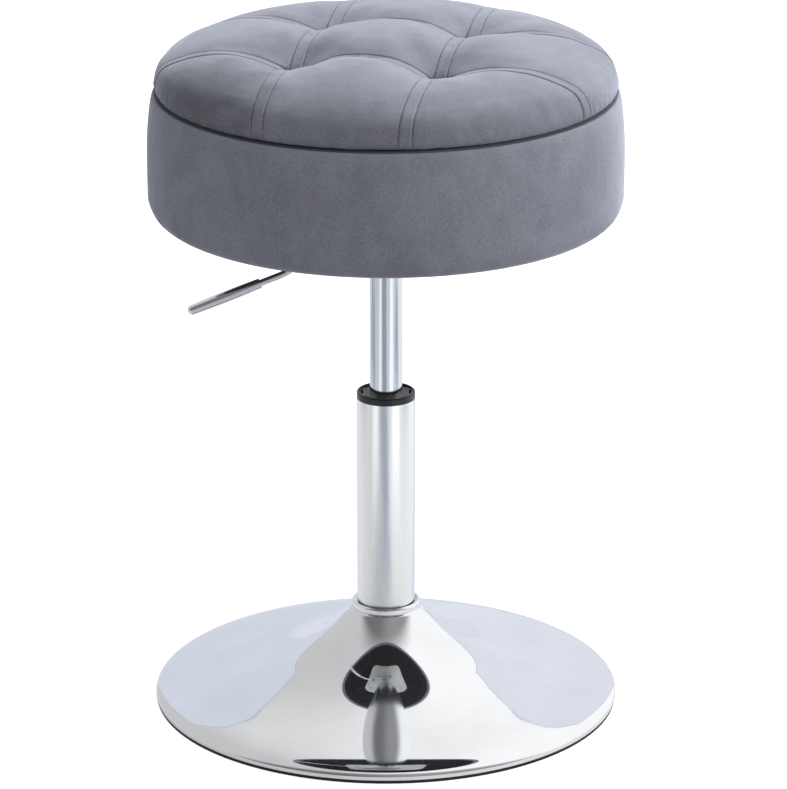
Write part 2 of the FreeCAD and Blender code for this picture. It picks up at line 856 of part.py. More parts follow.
def lid_cutters():
    """Four valleys along the seams and four funnels at the tufts, square to the crown."""
    offset = tuft_spacing / 2
    reach = offset * math.sqrt(2)
    cutters = []
    for quarter in range(4):
        for cutter, out, turn in ((channel_cutter(), offset, 0), (tuft_cutter(), reach, 45)):
            lean = math.asin(out / crown_bend_radius)
            cutter.rotate(V(0, 0, 0), V(1, 0, 0), -math.degrees(lean))
            cutter.translate(V(0, out, lid_top - crown_bend_radius * (1 - math.cos(lean))))
            cutter.rotate(V(0, 0, 0), UP, quarter * 90 + turn)
            cutters.append(at_tuft_angle(cutter))
    return cutters


def lid_cover():
    """Quilted cloth and wadding: a crowned shell with seam valleys and sewn tufts."""
    hem = (lid_hem_radius - lid_hem, lid_low)
    crown_start = (lid_radius, lid_low + lid_side_height)
    top = (0, lid_top)
    crown, heading = tangent_arc(top, 0, (crown_span, lid_top - crown_drop))
    shoulder, heading = tangent_arc(crown[1], heading, (shoulder_span, lid_top - shoulder_drop))
    bolster, heading = tangent_arc(shoulder[1], heading, crown_start)
    side, heading = tangent_arc(crown_start, heading, (lid_hem_radius, lid_low + lid_hem))
    turn_under = lid_radius - lid_turn_under
    under = lid_board_low - fit_gap
    wall = lid_board_radius + fit_gap
    shell = turned(outline(
        top, crown, shoulder, bolster, side, hem, (turn_under, lid_low), (turn_under, under),
        (wall, under), *pad_outline(wall, lid_foam_top + soft_gap)))
    return shell.cut(lid_cutters())


nodes = {
    "floor_ring": floor_ring(),
    "trumpet_base": trumpet_base(),
    "base_plate": base_plate(),
    "base_hub": base_hub(),
    "collar_ring": collar_ring(),
    "column_tube": column_tube(),
    "guide_bush": guide_bush(),
    "bearing_lower_race": ring(rod_neck + rod_hole_gap, race_radius, column_floor_top, lower_race_top),
    "bearing_balls": bearing_balls(),
    "bearing_cage": bearing_cage(),
    "bearing_upper_race": ring(rod_neck + running_gap, race_radius, upper_race_low, upper_race_top),
    "end_clip": end_clip(),
    "end_washer": end_washer(),
    "piston_rod": piston_rod(),
    "piston": ring(rod_tail + running_gap, cylinder_bore - running_gap, piston_low, piston_top),
    "piston_nut": piston_nut(),
    "stop_bumper": stop_bumper(),
    "gas_cylinder": gas_cylinder(),
    "cylinder_seal": cylinder_seal(),
    "valve_body": valve_body(),
    "release_pin": release_pin(),
    "taper_socket": taper_socket(),
    "lever_housing": lever_housing(),
    "mount_plate": mount_plate(),
    "plate_bolts": plate_bolts(),
    "plate_washers": plate_washers(),
    "tee_nuts": tee_nuts(),
    "lever_pin": lever_pin(),
    "lever_spacers": lever_spacers(),
    "lever_blade": lever_blade(),
    "lever_rod": lever_rod(),
    "lever_grip": lever_grip(),
    "drum_floor": drum_floor(),
    "drum_hoop": drum_hoop(),
    "drum_cover": drum_cover(),
    "storage_lining": storage_lining(),
    "dust_cover": dust_cover(),
    "lid_board": lid_board(),
    "lid_plug": disc(lid_plug_radius, lid_plug_low, lid_board_low),
    "lid_lining": disc(lid_plug_radius, lid_plug_low - lining_thickness, lid_plug_low),
    "lid_foam": lid_foam(),
    "lid_cover": lid_cover(),
    "tuft_ties": tuft_ties(),
}

os.makedirs("parts", exist_ok=True)
for name, shape in nodes.items():
    shape.exportStep(os.path.join("parts", name + ".step"))
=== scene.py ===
import json
import math

import bmesh
import bpy
import numpy as np
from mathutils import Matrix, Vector, noise
from mathutils.bvhtree import BVHTree

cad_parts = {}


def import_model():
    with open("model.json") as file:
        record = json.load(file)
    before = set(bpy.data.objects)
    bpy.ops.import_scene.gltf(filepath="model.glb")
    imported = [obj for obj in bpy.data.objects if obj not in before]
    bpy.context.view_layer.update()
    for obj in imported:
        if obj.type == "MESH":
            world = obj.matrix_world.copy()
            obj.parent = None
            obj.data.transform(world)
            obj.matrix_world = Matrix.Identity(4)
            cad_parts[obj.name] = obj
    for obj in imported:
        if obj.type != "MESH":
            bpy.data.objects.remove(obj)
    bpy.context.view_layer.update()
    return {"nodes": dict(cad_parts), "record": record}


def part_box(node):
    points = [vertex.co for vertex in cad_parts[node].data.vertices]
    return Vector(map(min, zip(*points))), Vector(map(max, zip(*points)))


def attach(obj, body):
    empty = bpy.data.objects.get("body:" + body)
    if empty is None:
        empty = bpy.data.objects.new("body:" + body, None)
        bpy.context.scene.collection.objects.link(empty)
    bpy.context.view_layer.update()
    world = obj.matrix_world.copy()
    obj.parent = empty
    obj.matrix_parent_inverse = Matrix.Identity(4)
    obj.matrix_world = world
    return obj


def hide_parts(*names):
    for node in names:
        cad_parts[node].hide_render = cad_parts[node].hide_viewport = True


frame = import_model()
scene = bpy.context.scene
MM = 0.001


def node_sizes(node):
    """Radius, lowest and highest place of a round node, in millimetres."""
    low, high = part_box(node)
    return round(high[0] / MM, 1), round(low[2] / MM, 1), round(high[2] / MM, 1)


# Sizes of the lid, in millimetres
LID_RADIUS, LID_LOW, LID_TOP = node_sizes("lid_cover")
CROWN = (130.0, LID_TOP - 8.5)
SHOULDER = (LID_RADIUS - 13.0, LID_TOP - 23.8)
LID_SIDE = (LID_RADIUS, LID_LOW + 8.6)
LID_HEM = (LID_RADIUS - 2.0, LID_LOW + 1.5)
LID_FOOT = (LID_RADIUS - 3.5, LID_LOW)
LID_TURN_UNDER = LID_RADIUS - 15.0
LID_START_INSET = 2.0
LID_VOXEL = 4.5
LID_CLOTH = 1.4
SEAM_HOLD_WIDTH = 8.0
SEAM_HOLD_FADE = 0.6
SEAM_HOLD_RADII = (130.0, 185.0)
SEAM_FINE_WIDTH = 9.0
STITCH_FINE_WIDTH = 2.4
SEAM_OFFSET = 61.0
SEAM_ANGLE = math.radians(-13.2)
SEAM_CENTRE = (-3.0, -2.0)
TUFT_RADIUS = 62.0
TUFT_DEPTH = 25.0
TUFT_PINCH = 6.0
TUFT_POWER = 1.7
PINCH_WIDTH = 7.0
CHANNEL_WIDTH = 34.0
CHANNEL_DEPTH = 9.0
CHANNEL_FADE = 0.9
CHANNEL_FADE_RADII = (100.0, 160.0)
STITCH_OFFSET = 5.2
STITCH_PITCH = 4.2
STITCH_LENGTH = 3.0
THREAD_RADIUS = 0.32
PRESS_DEPTH = 1.1
PRESS_WIDTH = 0.7
STRIP_RISE = 0.5
STRIP_FLAT = 3.9
SEAM_RAYS = 720
SEAM_RAY_REACH = 300.0
SEAM_RAY_Z = 551.0
TIE_OFFSET = 64.0
TIE_ANGLE = math.radians(-12.5)
TIE_LOW = 546.1
TIE_BEND = 556.0
TIE_COVERED = 2.6
TIE_LAY = 7.0
STRAND_RADIUS = 0.55
STRAND_OFFSET = 0.62
STRAND_SIDES = 7
TIE_STRANDS = 3
TIE_STEPS = 60
KNOT_SCALE = 1.5
KNOT_RISE = 0.35
KNOT_Z = 546.8
TUCK_TOP = 549.0
TUCK_DEPTH = 1.5
TUCK_INSET = 0.6
SLOT_RADIUS = 181.0
SLOT_HEIGHT = 0.7
HEM_RADIUS = 185.5
HEM_DROP = 1.2

# Sizes of the drum, in millimetres
DRUM_RADIUS, DRUM_LOW, DRUM_TOP = node_sizes("drum_cover")
DRUM_EDGE_TOP = DRUM_TOP - 1.5
BELLY_Z = (DRUM_LOW + DRUM_TOP) / 2
DRUM_FOOT = (199.1, 452.5)
DRUM_SHOULDER = (195.4, 539.0)
HOOP_RADIUS = 193.1
HOOP_TOP = 541.6
BOARD_LOW = 437.4
DRUM_INNER_EDGE = ((190.5, 444.6), (186.5, 439.4), (181.6, BOARD_LOW))
LAP_RADIUS = 183.9
COVER_BORE = 181.9
COVER_HEM_LOW = 518.5
COVER_HEM_RADIUS = 150.0
DRUM_SWELL = 0.8
RIPPLE_BROAD = 0.55
RIPPLE_UPRIGHT = 0.5

# Sizes of the linings, in millimetres
LINING_RADIUS = 175.6
LINING_LEVELS = (535.0, 535.85)
STORAGE_RADIUS = 182.6
STORAGE_LEVELS = (449.6, 450.4)
WALL_CLOTH_RADII = (183.0, 183.8)
WALL_CLOTH_LOW = 450.6
WALL_CLOTH_TOP = 518.1
DUST_RADIUS = 180.0
DUST_FLAT_RADIUS = 146.0
DUST_FLAT_LEVELS = (436.55, 437.4)
DUST_STEP_LOW = (149.5, 434.5)
DUST_STEP_TOP = (147.2, 437.2)
DUST_LAP_RADIUS = 149.9
DUST_LAP_LEVELS = (434.45, 435.35)

# Sizes of the base, in millimetres
BASE_RADIUS, BASE_EDGE_LOW, NECK_HEIGHT = node_sizes("trumpet_base")
BASE_SHEET = 1.5
BASE_EDGE_TOP = BASE_EDGE_LOW + 2.5
NECK_BORE = 28.4
NECK_FLAT = 29.8
NECK_RADIUS = 32.4
NECK_LIP_DROP = 1.6
NECK_RISE = 1.9
NECK_REACH = 2.5
FLARE_RATE = 3.33
RIM_ROLL = 11.0
RIM_POWER = 6


def arc(start, heading, end, steps):
    """Points of the arc from start along heading to end, without start, and the last heading."""
    across = end[0] - start[0]
    along = end[1] - start[1]
    turn = math.atan2(along, across) - heading
    radius = math.hypot(across, along) / (2 * math.sin(turn))
    points = []
    for i in range(1, steps + 1):
        now = heading + 2 * turn * i / steps
        points.append((start[0] + radius * (math.sin(now) - math.sin(heading)),
                       start[1] - radius * (math.cos(now) - math.cos(heading))))
    return points, heading + 2 * turn


def level_arc(start, heading, rise, steps):
    end = (start[0] - abs(rise * math.tan(heading / 2)), start[1] + rise)
    return arc(start, heading, end, steps)[0]


def line(start, end, steps):
    return [tuple(a + (b - a) * i / steps for a, b in zip(start, end)) for i in range(1, steps + 1)]


def link(name, mesh):
    obj = bpy.data.objects.new(name, mesh)
    scene.collection.objects.link(obj)
    return obj


def mesh_object(name, points, faces, smooth=True):
    """Object from points in millimetres."""
    mesh = bpy.data.meshes.new(name)
    mesh.from_pydata([tuple(c * MM for c in p) for p in points], [], faces)
    bm = bmesh.new()
    bm.from_mesh(mesh)
    bmesh.ops.recalc_face_normals(bm, faces=bm.faces)
    bm.to_mesh(mesh)
    bm.free()
    mesh.polygons.foreach_set("use_smooth", [smooth] * len(mesh.polygons))
    return link(name, mesh)


def turned(name, profile, segments, closed=True):
    """Profile of (radius, height) turned round Z. Points on the axis become poles."""
    points = []
    rows = []
    for radius, height in profile:
        if radius < 1e-6:
            rows.append([len(points)] * segments)
            points.append((0, 0, height))
            continue
        rows.append(list(range(len(points), len(points) + segments)))
        for k in range(segments):
            turn = 2 * math.pi * k / segments
            points.append((radius * math.cos(turn), radius * math.sin(turn), height))
    faces = []
    pairs = list(zip(rows, rows[1:]))
    if closed and profile[0][0] > 1e-6:
        pairs.append((rows[-1], rows[0]))
    for low, high in pairs:
        for k in range(segments):
            n = (k + 1) % segments
            corners = [low[k], low[n], high[n], high[k]]
            faces.append([c for i, c in enumerate(corners) if c not in corners[:i]])
    return mesh_object(name, points, faces)


def coords(mesh):
    co = np.empty(len(mesh.vertices) * 3)
    mesh.vertices.foreach_get("co", co)
    return co.reshape(-1, 3) / MM


def set_coords(mesh, co):
    mesh.vertices.foreach_set("co", (np.asarray(co) * MM).ravel())
    mesh.update()


def normals(mesh):
    n = np.empty(len(mesh.vertices) * 3)
    mesh.vertex_normals.foreach_get("vector", n)
    return n.reshape(-1, 3)


def rough(point, size, seed=0.0):
    return noise.noise(Vector((point[0] / size + seed, point[1] / size - seed, point[2] / size)))


def smooth_step(x, low, high):
    t = np.clip((x - low) / (high - low), 0, 1)
    return t * t * (3 - 2 * t)


def seam_frame(co):
    """Places along and across the seams, from X and Y."""
    c, s = math.cos(SEAM_ANGLE), math.sin(SEAM_ANGLE)
    x, y = co[:, 0] - SEAM_CENTRE[0], co[:, 1] - SEAM_CENTRE[1]
    return x * c + y * s, -x * s + y * c


def seam_distances(co):
    u, v = seam_frame(co)
    return abs(abs(u) - SEAM_OFFSET), abs(abs(v) - SEAM_OFFSET)


def apply_all(obj):
    """Turns the object's modifiers into its mesh."""
    graph = bpy.context.evaluated_depsgraph_get()
    mesh = bpy.data.meshes.new_from_object(obj.evaluated_get(graph))
    obj.modifiers.clear()
    obj.data = mesh


def voxel_copy(obj, name, size):
    """New object with an even mesh of the same form."""
    copy = link(name, obj.data.copy())
    remesh = copy.modifiers.new("even", "REMESH")
    remesh.mode = "VOXEL"
    remesh.voxel_size = size * MM
    remesh.use_smooth_shade = True
    apply_all(copy)
    bpy.data.objects.remove(obj)
    return copy


def evened(mesh, field, rounds):
    """Field of vectors on the mesh's points, each round averaged with its neighbours."""
    ends = np.empty(len(mesh.edges) * 2, dtype=np.int64)
    mesh.edges.foreach_get("vertices", ends)
    one, other = ends.reshape(-1, 2).T
    count = np.bincount(ends, minlength=len(field))[:, None]
    for _ in range(rounds):
        total = np.zeros_like(field)
        np.add.at(total, one, field[other])
        np.add.at(total, other, field[one])
        field = (field + total / np.maximum(count, 1)) / 2
    return field


def puff(obj, held, pressure, spare, cap, rounds, frames=20):
    """Swells the object as sewn cloth. Held is 1 where it is fixed, and no point moves more than cap."""
    start = coords(obj.data)
    pins = obj.vertex_groups.new(name="held")
    for level in np.unique(np.round(held, 1)):
        if level > 0:
            where = np.flatnonzero(np.round(held, 1) == level).tolist()
            pins.add(where, float(level), "REPLACE")
    cloth = obj.modifiers.new("cloth", "CLOTH")
    rules = cloth.settings
    rules.quality = 6
    rules.mass = 0.2
    rules.tension_stiffness = 15
    rules.compression_stiffness = 15
    rules.shear_stiffness = 8
    rules.bending_stiffness = 1.5
    rules.air_damping = 2
    rules.use_pressure = True
    rules.uniform_pressure_force = pressure
    rules.shrink_min = -spare
    rules.vertex_group_mass = pins.name
    rules.effector_weights.gravity = 0
    cloth.collision_settings.use_collision = False
    cloth.point_cache.frame_end = frames
    for step in range(1, frames + 1):
        scene.frame_set(step)
    graph = bpy.context.evaluated_depsgraph_get()
    swollen = coords(obj.evaluated_get(graph).data)
    obj.modifiers.clear()
    obj.vertex_groups.clear()
    move = evened(obj.data, swollen - start, rounds)
    length = np.linalg.norm(move, axis=1, keepdims=True)
    soft_cap = cap * np.tanh(length / cap) / np.maximum(length, 1e-9)
    set_coords(obj.data, start + move * soft_cap)
    scene.frame_set(1)


# Paint


class Paint:
    """A node material with its texture in the piece's own coordinates, in metres."""

    def __init__(self, name, colour, roughness, **sockets):
        self.material = bpy.data.materials.new(name)
        self.material.use_nodes = True
        self.tree = self.material.node_tree
        self.shader = self.tree.nodes["Principled BSDF"]
        self.shader.inputs["Base Color"].default_value = (*colour, 1)
        self.shader.inputs["Roughness"].default_value = roughness
        for socket, value in sockets.items():
            self.shader.inputs[socket.replace("_", " ")].default_value = value
        self.place = self.add("ShaderNodeTexCoord").outputs["Object"]

    def add(self, kind, **settings):
        node = self.tree.nodes.new(kind)
        for key, value in settings.items():
            setattr(node, key, value)
        return node

    def join(self, out, socket):
        self.tree.links.new(out, socket)

    def grain(self, size, stretch=(1, 1, 1), detail=3.0, warp=0.0):
        """Noise with features of a size in millimetres, longer where stretch is above 1."""
        mapping = self.add("ShaderNodeMapping")
        mapping.inputs["Scale"].default_value = tuple(1 / (size * MM * s) for s in stretch)
        self.join(self.place, mapping.inputs["Vector"])
        texture = self.add("ShaderNodeTexNoise")
        texture.inputs["Scale"].default_value = 1.0
        texture.inputs["Detail"].default_value = detail
        texture.inputs["Distortion"].default_value = warp
        self.join(mapping.outputs["Vector"], texture.inputs["Vector"])
        return texture.outputs["Fac"]

    def spread(self, value, low, high, start=0.3, end=0.7):
        node = self.add("ShaderNodeMapRange")
        node.inputs["From Min"].default_value = start
        node.inputs["From Max"].default_value = end
        node.inputs["To Min"].default_value = low
        node.inputs["To Max"].default_value = high
        self.join(value, node.inputs["Value"])
        return node.outputs["Result"]

    def colours(self, value, *stops):
        """Colours the piece by a ramp of (value, colour) stops."""
        node = self.add("ShaderNodeValToRGB")
        for i, (where, colour) in enumerate(stops):
            stop = node.color_ramp.elements[i] if i < 2 else node.color_ramp.elements.new(where)
            stop.position = where
            stop.color = (*colour, 1)
        self.join(value, node.inputs["Fac"])
        self.join(node.outputs["Color"], self.shader.inputs["Base Color"])

    def gloss(self, value, low, high):
        self.join(self.spread(value, low, high), self.shader.inputs["Roughness"])

    def relief(self, value, strength, depth):
        """Adds bumps of a depth in millimetres over those already there."""
        node = self.add("ShaderNodeBump")
        node.inputs["Strength"].default_value = strength
        node.inputs["Distance"].default_value = depth * MM
        self.join(value, node.inputs["Height"])
        normal = self.shader.inputs["Normal"]
        if normal.is_linked:
            self.join(normal.links[0].from_socket, node.inputs["Normal"])
        self.join(node.outputs["Normal"], normal)

    def stroke(self, place, radius, factor):
        """Paints shade round a place, in millimetres, with a ragged edge, by darkening or lightening the
        colour there.
        """
        ragged = self.add("ShaderNodeVectorMath", operation="DISTANCE")
        self.join(self.place, ragged.inputs[0])
        ragged.inputs[1].default_value = tuple(c * MM for c in place)
        wander = self.spread(self.grain(26, (1, 1, 0.6), 2, 0.3), -0.2 * radius * MM, 0.2 * radius * MM)
        edge = self.add("ShaderNodeMath", operation="ADD")
        self.join(ragged.outputs["Value"], edge.inputs[0])
        self.join(wander, edge.inputs[1])
        level = self.spread(edge.outputs[0], factor, 1.0, 0.2 * radius * MM, radius * MM)
        level.node.interpolation_type = "SMOOTHSTEP"
        self.scale_colour(level)

    def scale_colour(self, level):
        scaled = self.add("ShaderNodeVectorMath", operation="SCALE")
        base = self.shader.inputs["Base Color"]
        self.join(base.links[0].from_socket, scaled.inputs[0])
        self.join(level, scaled.inputs["Scale"])
        self.join(scaled.outputs[0], base)

    def mixed(self, first, second, share):
        node = self.add("ShaderNodeMix")
        node.inputs["Factor"].default_value = share
        self.join(first, node.inputs["A"])
        self.join(second, node.inputs["B"])
        return node.outputs["Result"]


def shade(colour, factor):
    return tuple(c * factor for c in colour)


def velvet(name, colour, gap_shade, shade_marks=()):
    """Short pile, darker or lighter in patches of painted shade, given as (place, radius, factor).

    It is painted darker, as shade in the gap between lid and drum, from one height to another.
    """
    paint = Paint(name, colour, 0.85, Sheen_Weight=0.6, Sheen_Roughness=0.34, Sheen_Tint=(0.80, 0.85, 1.0, 1))
    paint.shader.inputs["Specular IOR Level"].default_value = 0.15
    brushed = paint.mixed(paint.grain(70, (1, 1, 1.2), 3, 0.5), paint.grain(16, (1, 1, 1.5), 2), 0.4)
    nap = paint.grain(0.8, (1, 1, 3), 2)
    fibre = paint.grain(0.45, (1, 1, 1.6), 1)
    paint.colours(paint.mixed(brushed, paint.mixed(nap, fibre, 0.5), 0.65),
                  (0.39, shade(colour, 0.74)), (0.5, colour), (0.61, shade(colour, 1.26)))
    # Painted shade: the lid's patches, darkest at its left front.
    for place, radius, factor in shade_marks:
        paint.stroke(place, radius, factor)
    # Painted shade: the pile is darkened near the gap between lid and drum, from one height to another.
    height = paint.add("ShaderNodeSeparateXYZ")
    paint.join(paint.place, height.inputs[0])
    paint.scale_colour(paint.spread(height.outputs["Z"], 1.0, GAP_SHADE_TONE, gap_shade[0] * MM, gap_shade[1] * MM))
    paint.gloss(brushed, 0.78, 0.92)
    paint.relief(nap, 0.22, 0.2)
    paint.relief(fibre, 0.22, 0.12)
    return paint.material


def metal(name, colour, low, high, size, stretch=(1, 1, 1), depth=0.0):
    paint = Paint(name, colour, low, Metallic=1.0)
    wear = paint.grain(size, stretch, 3)
    paint.colours(wear, (0.3, shade(colour, 0.96)), (0.7, shade(colour, 1.03)))
    paint.gloss(wear, low, high)
    if depth:
        paint.relief(wear, 0.2, depth)
    return paint.material


def moulded(name, colour, low, high, size, depth):
    paint = Paint(name, colour, low)
    speckle = paint.grain(size, detail=2)
    haze = paint.grain(25, detail=3)
    paint.colours(haze, (0.3, shade(colour, 0.75)), (0.7, shade(colour, 1.35)))
    paint.gloss(haze, low, high)
    paint.relief(speckle, 0.35, depth)
    return paint.material


def cloth(name, colour, thread, depth):
    """Plain woven cloth: two crossed sets of threads."""
    paint = Paint(name, colour, 0.9, Sheen_Weight=0.2, Sheen_Roughness=0.5)
    waves = []
    for direction in ("X", "Y"):
        wave = paint.add("ShaderNodeTexWave", bands_direction=direction)
        wave.inputs["Scale"].default_value = 0.31 / (thread * MM)
        wave.inputs["Distortion"].default_value = 1.2
        wave.inputs["Detail Scale"].default_value = 2
        paint.join(paint.place, wave.inputs["Vector"])
        waves.append(wave.outputs["Fac"])
    weave = paint.mixed(waves[0], waves[1], 0.5)
    paint.colours(paint.mixed(weave, paint.grain(30), 0.5),
                  (0.3, shade(colour, 0.7)), (0.7, shade(colour, 1.3)))
    paint.gloss(weave, 0.82, 0.95)
    paint.relief(weave, 0.4, depth)
    return paint.material


def plywood(name, colour):
    paint = Paint(name, colour, 0.6)
    figure = paint.grain(9, (9, 1, 0.35), 5, 1.5)
    paint.colours(figure, (0.3, shade(colour, 0.66)), (0.5, colour), (0.7, shade(colour, 1.15)))
    paint.gloss(figure, 0.5, 0.7)
    paint.relief(figure, 0.25, 0.2)
    return paint.material


VELVET_COLOUR = (0.276, 0.283, 0.335)
# Painted shade in the gap between lid and drum: how dark it gets, and the heights over which the drum's and
# the lid's velvet darken.
GAP_SHADE_TONE = 0.26
DRUM_GAP_SHADE = (541.3, 541.9)
# The lid's velvet is painted darker than the drum's, as shade on the same cloth.
LID_SHADE_FACTOR = 0.89
LID_GAP_SHADE = (544.6, 543.6)
# Patches of painted shade on the lid, given as (place, radius, factor), darkest at its left front.
LID_SHADE_MARKS = (((-145, -105, 565), 95, 0.66), ((-20, -175, 572), 90, 0.93), ((140, -120, 568), 70, 0.96),
             ((165, 20, 575), 80, 0.87))
paints = {
    "velvet": velvet("velvet_grey_gap_shaded", VELVET_COLOUR, DRUM_GAP_SHADE),
    "black_cloth": cloth("cloth_black", (0.012, 0.012, 0.013), 0.5, 0.1),
    "grey_lining": cloth("cloth_grey", (0.10, 0.10, 0.108), 0.6, 0.15),
    "foam": moulded("foam_pale", (0.80, 0.72, 0.48), 0.8, 0.95, 1.2, 0.4),
    "thread": cloth("thread_grey", (0.085, 0.087, 0.10), 0.3, 0.05),
    "twine": cloth("twine_pale", (0.55, 0.50, 0.42), 0.4, 0.2),
    "plywood": plywood("plywood_bare", (0.50, 0.33, 0.17)),
    "chrome": metal("chrome_bright", (0.86, 0.87, 0.885), 0.02, 0.05, 45),
    "soft_chrome": metal("chrome_soft", (0.88, 0.893, 0.912), 0.17, 0.22, 0.6, (1, 1, 30), 0.01),
    "satin_steel": metal("steel_satin", (0.71, 0.76, 0.80), 0.11, 0.16, 0.6, (1, 1, 30), 0.01),
    "bare_steel": metal("steel_bare", (0.60, 0.60, 0.59), 0.24, 0.40, 4),
    "black_steel": moulded("powder_black", (0.014, 0.014, 0.015), 0.38, 0.52, 0.9, 0.12),
    "black_plastic": moulded("plastic_black", (0.014, 0.014, 0.016), 0.28, 0.40, 0.6, 0.05),
    "black_rubber": moulded("rubber_black", (0.011, 0.011, 0.012), 0.55, 0.70, 0.8, 0.10),
    "brass": metal("brass_turned", (0.72, 0.52, 0.20), 0.2, 0.32, 0.5, (1, 1, 0.4)),
}
OWN_FINISH = {"mount_plate": "bare_steel", "taper_socket": "bare_steel", "lever_housing": "bare_steel",
              "column_tube": "soft_chrome"}
for row in frame["record"]["subparts"]:
    paint = paints[OWN_FINISH.get(row["node"], row["material_slot"])]
    for slot in frame["nodes"][row["node"]].material_slots:
        slot.material = paint


def dress(obj, body, slot, *nodes):
    """Paints a piece, fixes it to its body and hides the parts it takes the place of."""
    obj.data.materials.clear()
    obj.data.materials.append(paints[slot])
    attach(obj, body)
    if nodes:
        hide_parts(*nodes)
    return obj


# Lid


def lid_profile():
    points = [(0.0, LID_TOP)]
    heading = 0.0
    for end, steps in ((CROWN, 32), (SHOULDER, 16), (LID_SIDE, 14), (LID_HEM, 5)):
        part, heading = arc(points[-1], heading, end, steps)
        points += part
    return points + [LID_FOOT]


def lid_dents(co):
    """Depth of the seam valleys and the tufts at each point."""
    across, along = seam_distances(co)
    out = np.hypot(co[:, 0], co[:, 1])
    fade = 1 - CHANNEL_FADE * smooth_step(out, *CHANNEL_FADE_RADII)
    valley = np.zeros(len(co))
    for gap in (across, along):
        valley = np.maximum(valley, CHANNEL_DEPTH * fade * np.clip(1 - gap / CHANNEL_WIDTH, 0, 1) ** 2)
    pull = TUFT_DEPTH * np.clip(1 - np.hypot(across, along) / TUFT_RADIUS, 0, 1) ** TUFT_POWER
    return np.hypot(valley, pull)


def refine(mesh, reach, above):
    """Divides the faces once where they lie within a width of a distance from a seam, given as reach."""
    bm = bmesh.new()
    bm.from_mesh(mesh)
    edges = list(bm.edges)
    middle = np.array([(e.verts[0].co + e.verts[1].co) / 2 for e in edges]) / MM
    across, along = seam_distances(middle)
    near = np.minimum(abs(across - reach[0]), abs(along - reach[0])) < reach[1]
    near &= middle[:, 2] > above
    chosen = [e for e, pick in zip(edges, near) if pick]
    bmesh.ops.subdivide_edges(bm, edges=chosen, cuts=1, use_grid_fill=True)
    bm.to_mesh(mesh)
    bm.free()


def sew(mesh):
    """Presses the stitch lines in and leaves the seam strips a little proud."""
    co = coords(mesh)
    across, along = seam_distances(co)
    press = np.zeros(len(co))
    strip = np.zeros(len(co))
    for gap in (across, along):
        press = np.maximum(press, PRESS_DEPTH * np.exp(-((gap - STITCH_OFFSET) / PRESS_WIDTH) ** 2))
        strip = np.maximum(strip, STRIP_RISE * (1 - smooth_step(gap, STRIP_FLAT, STITCH_OFFSET)))
    press += TUFT_PINCH * np.exp(-(np.hypot(across, along) / PINCH_WIDTH) ** 2)
    outside = smooth_step(co[:, 2], LID_LOW + 1, LID_LOW + 4)
    set_coords(mesh, co + normals(mesh) * ((strip - press) * outside)[:, None])


def tuck(mesh):
    """Draws the lid's hem in and drops its edge, so that a thin dark line stays over the drum."""
    co = coords(mesh)
    out = np.hypot(co[:, 0], co[:, 1])
    low = 1 - smooth_step(co[:, 2], LID_LOW + 1.5, LID_LOW + 8)
    co[:, 2] += SLOT_HEIGHT * low * smooth_step(out, SLOT_RADIUS, SLOT_RADIUS + 3)
    co[:, 2] -= HEM_DROP * low * smooth_step(out, HEM_RADIUS, HEM_RADIUS + 3)
    down = np.clip((TUCK_TOP - co[:, 2]) / (TUCK_TOP - LID_LOW), 0, 1)
    limit = LID_RADIUS - TUCK_INSET - TUCK_DEPTH * down ** 2
    co[:, :2] *= np.minimum(1, limit / np.maximum(out, 1))[:, None]
    set_coords(mesh, co)


def make_lid():
    profile = lid_profile()
    raw = turned("lid_raw", profile + [(0.0, LID_LOW)], 240)
    raw_co = coords(raw.data)
    lower = smooth_step(raw_co[:, 2], LID_LOW + 2, LID_LOW + 12)
    depth = (lid_dents(raw_co) + LID_START_INSET) * lower
    set_coords(raw.data, raw_co - normals(raw.data) * depth[:, None])
    lid = voxel_copy(raw, "lid_cushion", LID_VOXEL)
    co = coords(lid.data)
    across, along = seam_distances(co)
    seam = np.clip(1.25 - np.minimum(across, along) / SEAM_HOLD_WIDTH, 0, 1)
    out = np.hypot(co[:, 0], co[:, 1])
    held = np.maximum(seam * (1 - SEAM_HOLD_FADE * smooth_step(out, *SEAM_HOLD_RADII)),
                      1 - smooth_step(co[:, 2], LID_LOW + 2, LID_LOW + 9))
    puff(lid, held, pressure=4.0, spare=0.004, cap=4.0, rounds=4)
    finer = lid.modifiers.new("finer", "SUBSURF")
    finer.levels = 1
    apply_all(lid)
    tuck(lid.data)
    refine(lid.data, (0.0, SEAM_FINE_WIDTH), LID_LOW + 1)
    refine(lid.data, (STITCH_OFFSET, STITCH_FINE_WIDTH), LID_LOW + 1)
    sew(lid.data)
    bm = bmesh.new()
    bm.from_mesh(lid.data)
    inner = [v for v in bm.verts
             if v.co.z < (LID_LOW + 2) * MM and math.hypot(v.co.x, v.co.y) < LID_TURN_UNDER * MM]
    bmesh.ops.delete(bm, geom=inner, context="VERTS")
    bm.to_mesh(lid.data)
    bm.free()
    shell = lid.modifiers.new("shell", "SOLIDIFY")
    shell.thickness = LID_CLOTH * MM
    shell.offset = -1
    apply_all(lid)
    lid.data.polygons.foreach_set("use_smooth", [True] * len(lid.data.polygons))
    return lid


lid = make_lid()
dress(lid, "lid", "velvet", "lid_cover", "lid_foam")
# The lid gets its own velvet: painted darker as shade, with its patches of painted shade and its painted gap
# shade.
lid.data.materials[0] = velvet("velvet_lid_shaded", shade(VELVET_COLOUR, LID_SHADE_FACTOR), LID_GAP_SHADE, LID_SHADE_MARKS)


def turned_by(angle, u, v):
    return u * math.cos(angle) - v * math.sin(angle), u * math.sin(angle) + v * math.cos(angle)


